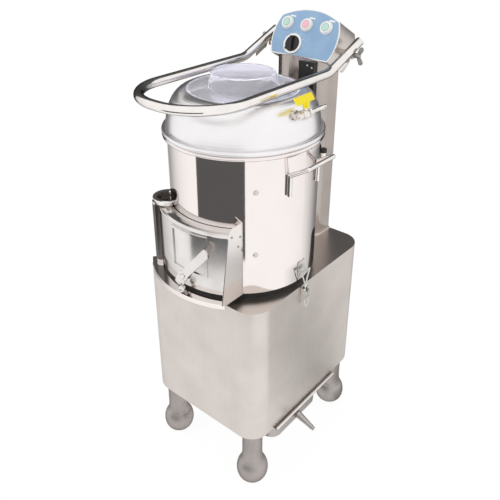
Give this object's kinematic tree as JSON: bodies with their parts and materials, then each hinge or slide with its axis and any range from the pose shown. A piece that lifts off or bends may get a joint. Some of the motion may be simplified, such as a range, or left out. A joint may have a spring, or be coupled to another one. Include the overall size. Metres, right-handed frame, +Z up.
{
  "type": "electric potato peeler",
  "caption": "Floor-standing drum peeler with a turning grit disc, domed lid, guard loop, side discharge door, control box on a rear column and a peel drawer.",
  "frame": {"origin": "middle of the footprint of the whole machine, on the floor", "axes": "+Z up, -Y towards the discharge door, +X towards the drawer's handle and the water valve"},
  "size_m": [0.5417, 0.717, 1.355],
  "materials": {
    "brushed_stainless": "brushed",
    "bead_blasted_feet": "satin",
    "polished_stainless": "polished",
    "drum_floor_steel": "satin",
    "black_rubber": "matte",
    "black_plastic": "satin",
    "grey_pipe": "satin",
    "ivory_plastic": "satin",
    "blue_panel": "satin",
    "white_plastic": "gloss",
    "green_lens": "gloss",
    "red_lens": "gloss",
    "clear_plastic": "clear",
    "plated_brass": "plated",
    "yellow_lever": "dipped",
    "cast_iron": "painted",
    "motor_enamel": "enamel",
    "grit": "abrasive",
    "grit_casting": "abrasive"
  },
  "bodies": {
    "root": {"cabinet_shell": "brushed_stainless", "base_plate": "brushed_stainless", "feet": "bead_blasted_feet", "seat_ring": "black_rubber", "service_cover": "brushed_stainless", "dome_bolts": "polished_stainless", "mains_gland": "black_plastic", "drum_shell": "polished_stainless", "drum_floor": "drum_floor_steel", "grit_liner": "grit", "drum_handle_left": "polished_stainless", "drum_handle_right": "polished_stainless", "drain_pipe": "grey_pipe", "chute_cheek": "brushed_stainless", "chute_ledge": "polished_stainless", "hinge_pin": "drum_floor_steel", "column": "brushed_stainless", "column_weld": "polished_stainless", "pipe_stub": "polished_stainless", "stub_cap": "black_plastic", "safety_switch": "black_plastic", "control_box": "brushed_stainless", "control_panel": "blue_panel", "panel_trim": "white_plastic", "button_bezels": "white_plastic", "dial_ring": "white_plastic", "timer_unit": "ivory_plastic", "guard_bosses": "brushed_stainless", "latch_catches": "polished_stainless", "latch_bases": "brushed_stainless", "drawer_rails": "brushed_stainless", "bearing_housing": "cast_iron", "motor": "motor_enamel", "motor_mount": "brushed_stainless", "drive_belt": "black_rubber"},
    "rotor": {"peeling_disc": "grit_casting", "main_shaft": "drum_floor_steel", "disc_pulley": "cast_iron"},
    "motor_rotor": {"motor_pulley": "cast_iron"},
    "door": {"door_panel": "polished_stainless", "door_seal": "black_rubber"},
    "lever": {"door_lever": "polished_stainless"},
    "lid": {"lid_dome": "polished_stainless", "lid_window": "clear_plastic", "lid_gasket": "black_rubber", "water_valve": "plated_brass"},
    "valve_handle": {"valve_lever": "yellow_lever"},
    "guard": {"guard_loop": "polished_stainless"},
    "left_wing_screw": {"wing_screw_left": "polished_stainless"},
    "right_wing_screw": {"wing_screw_right": "polished_stainless"},
    "start": {"start_button": "green_lens"},
    "stop": {"stop_button": "red_lens"},
    "run": {"run_button": "green_lens"},
    "timer": {"timer_knob": "black_plastic"},
    "left_latch": {"latch_lever_left": "polished_stainless"},
    "right_latch": {"latch_lever_right": "polished_stainless"},
    "left_bail": {"latch_bail_left": "polished_stainless"},
    "right_bail": {"latch_bail_right": "polished_stainless"},
    "drawer": {"peel_drawer": "brushed_stainless", "strainer": "brushed_stainless"}
  },
  "joints": [
    {"name": "disc_spin", "type": "hinge", "parent": "root", "child": "rotor", "pos_m": [-0.01114, -0.04, 0.6], "axis": [0, 0, 1], "continuous": true},
    {"name": "motor_spin", "type": "hinge", "parent": "root", "child": "motor_rotor", "pos_m": [-0.01114, 0.15, 0.53], "axis": [0, 0, 1], "continuous": true},
    {"name": "door_hinge", "type": "hinge", "parent": "root", "child": "door", "pos_m": [-0.16798, -0.22692, 0.8], "axis": [0, 0, -1], "range_deg": [0, 120]},
    {"name": "door_lever_turn", "type": "hinge", "parent": "door", "child": "lever", "pos_m": [-0.01514, -0.292, 0.731], "axis": [0, 1, 0], "range_deg": [0, 45]},
    {"name": "guard_hinge", "type": "hinge", "parent": "root", "child": "guard", "pos_m": [-0.01114, 0.264, 1.248], "axis": [-1, 0, 0], "range_deg": [0, 75]},
    {"name": "lid_lift", "type": "slide", "parent": "root", "child": "lid", "axis": [0, 0, 1], "range_m": [0, 0.201]},
    {"name": "valve_turn", "type": "hinge", "parent": "lid", "child": "valve_handle", "pos_m": [0.19786, -0.053, 1.19], "axis": [0, 0, 1], "range_deg": [0, 90]},
    {"name": "left_wing_screw_turn", "type": "hinge", "parent": "root", "child": "left_wing_screw", "pos_m": [-0.15814, 0.264, 1.248], "axis": [-1, 0, 0], "continuous": true},
    {"name": "right_wing_screw_turn", "type": "hinge", "parent": "root", "child": "right_wing_screw", "pos_m": [0.13586, 0.264, 1.248], "axis": [1, 0, 0], "continuous": true},
    {"name": "timer_turn", "type": "hinge", "parent": "root", "child": "timer", "pos_m": [-0.04314, 0.22348, 1.26087], "axis": [0, -0.8821, 0.471], "range_deg": [-300, 0]},
    {"name": "left_latch_hinge", "type": "hinge", "parent": "root", "child": "left_latch", "pos_m": [-0.23514, -0.04, 0.655], "axis": [0, 1, 0], "range_deg": [0, 120]},
    {"name": "right_latch_hinge", "type": "hinge", "parent": "root", "child": "right_latch", "pos_m": [0.21286, -0.04, 0.655], "axis": [0, -1, 0], "range_deg": [0, 120]},
    {"name": "left_bail_hinge", "type": "hinge", "parent": "left_latch", "child": "left_bail", "pos_m": [-0.23514, -0.04, 0.641], "axis": [0, 1, 0], "range_deg": [-120, 0]},
    {"name": "right_bail_hinge", "type": "hinge", "parent": "right_latch", "child": "right_bail", "pos_m": [0.21286, -0.04, 0.641], "axis": [0, -1, 0], "range_deg": [-120, 0]},
    {"name": "drawer_slide", "type": "slide", "parent": "root", "child": "drawer", "axis": [1, 0, 0], "range_m": [0, 0.22]},
    {"name": "start_press", "type": "slide", "parent": "root", "child": "start", "axis": [0, 0.8821, -0.471], "range_m": [0, 0.004], "stiffness_N_per_m": 500, "springref_m": -0.002},
    {"name": "stop_press", "type": "slide", "parent": "root", "child": "stop", "axis": [0, 0.8821, -0.471], "range_m": [0, 0.004], "stiffness_N_per_m": 500, "springref_m": -0.002},
    {"name": "run_press", "type": "slide", "parent": "root", "child": "run", "axis": [0, 0.8821, -0.471], "range_m": [0, 0.004], "stiffness_N_per_m": 500, "springref_m": -0.002}
  ],
  "couplings": [
    {"joint": "motor_spin", "follows": "disc_spin", "ratio": 2.7778},
    {"joint": "lid_lift", "follows": "guard_hinge", "m_per_rad": 0.15279},
    {"joint": "left_bail_hinge", "follows": "left_latch_hinge", "ratio": -1},
    {"joint": "right_bail_hinge", "follows": "right_latch_hinge", "ratio": -1}
  ]
}
